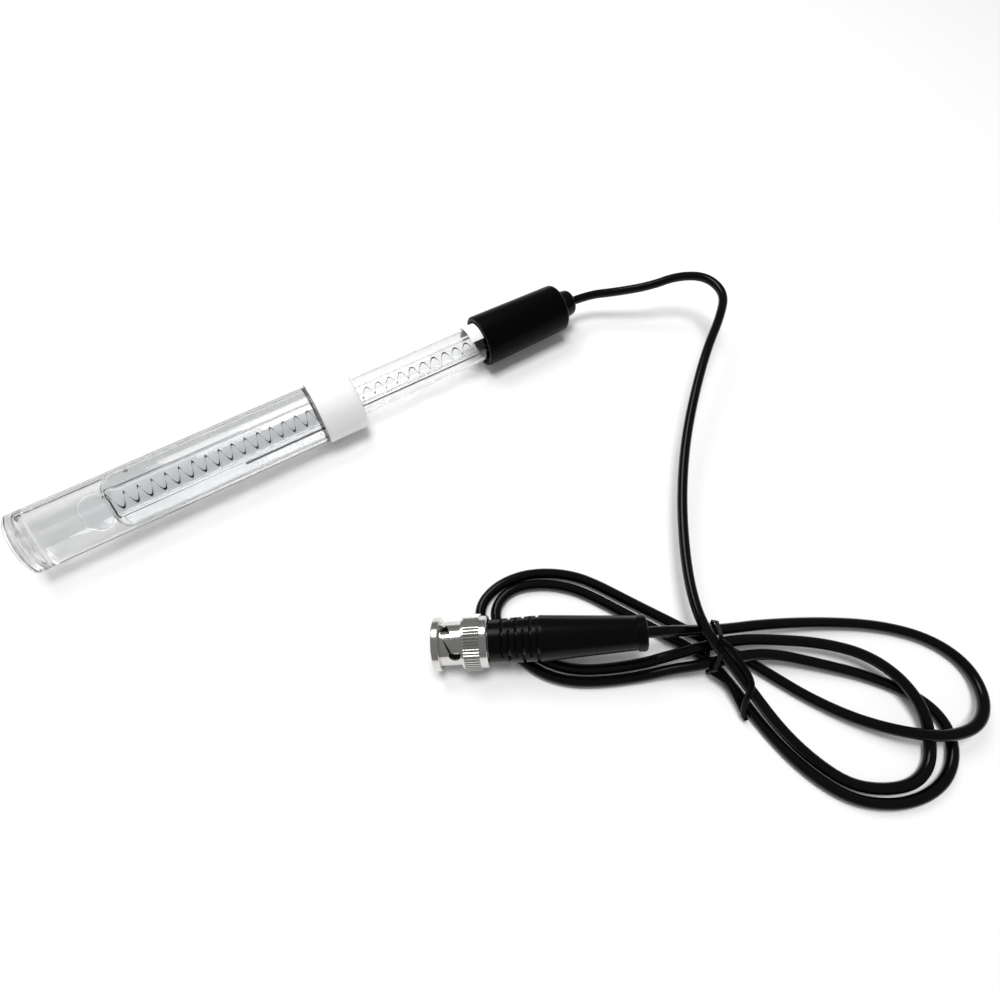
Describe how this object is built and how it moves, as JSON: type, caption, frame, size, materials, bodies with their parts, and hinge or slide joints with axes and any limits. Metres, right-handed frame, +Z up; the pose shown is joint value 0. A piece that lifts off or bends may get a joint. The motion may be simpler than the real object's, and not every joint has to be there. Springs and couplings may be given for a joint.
{
  "type": "ph electrode",
  "caption": "Glass pH electrode in a clear screw-nut storage bottle, with a black cap, coiled cable in a tied figure eight and a bayonet plug with a ribbed boot.",
  "frame": {"origin": "on the table under the middle of the electrode in its bottle, the cable and plug left out", "axes": "+X along the electrode from the bottle's foot to the cable's nose, +Z up from the table"},
  "size_m": [0.2145, 0.1777, 0.0191],
  "materials": {
    "glass": "clear polished",
    "ceramic": "porous white ceramic",
    "wire": "chlorided silver wire",
    "seal_rubber": "soft silicone",
    "cap_plastic": "black, satin gloss",
    "label": "white paper strip, bare",
    "cable_rubber": "black, moulded",
    "cable_jacket": "black, smooth",
    "lead_copper": "tinned copper strand",
    "bottle_plastic": "clear",
    "nut_plastic": "white, smooth",
    "tie": "black coated wire",
    "nickel": "nickel plated",
    "insulator": "white, smooth",
    "gold": "gold plated"
  },
  "bodies": {
    "electrode": {"glass_tube": "glass", "stem_bulb": "glass", "junction_frit": "ceramic", "coil_wire": "wire", "reference_wire": "wire", "body_stopper": "seal_rubber", "electrode_cap": "cap_plastic", "label_strip": "label", "cable_grommet": "cable_rubber", "cable_in_cap": "cable_jacket", "signal_lead": "lead_copper", "screen_lead": "lead_copper", "cable": "cable_jacket", "cable_in_plug": "cable_jacket", "cable_tie": "tie", "bnc_boot": "cable_rubber", "bnc_ferrule": "nickel", "bnc_body": "nickel", "bnc_insulator": "insulator", "bnc_center_pin": "gold", "bnc_gasket": "seal_rubber", "bnc_spring_washer": "nickel", "bnc_thrust_washer": "nickel"},
    "bottle": {"storage_bottle": "bottle_plastic"},
    "seal": {"bottle_seal": "seal_rubber"},
    "bottle_nut": {"bottle_nut": "nut_plastic"},
    "bnc_nut": {"bnc_coupling_nut": "nickel"}
  },
  "joints": [
    {"name": "bottle_slide", "type": "slide", "parent": "electrode", "child": "bottle", "axis": [-1, 0, 0], "range_m": [0, 0.11]},
    {"name": "nut_lift", "type": "slide", "parent": "bottle", "child": "seal", "axis": [1, 0, 0], "range_m": [0, 0.0076]},
    {"name": "nut_turn", "type": "hinge", "parent": "seal", "child": "bottle_nut", "pos_m": [0, 0, 0.0095], "axis": [1, 0, 0], "range_deg": [0, 1080]},
    {"name": "bnc_nut_turn", "type": "hinge", "parent": "electrode", "child": "bnc_nut", "pos_m": [-0.00554, -0.07868, 0.00656], "axis": [0.8678, -0.485, 0.108], "continuous": true}
  ],
  "couplings": [
    {"joint": "nut_lift", "follows": "nut_turn", "m_per_rad": 0.00039789}
  ]
}
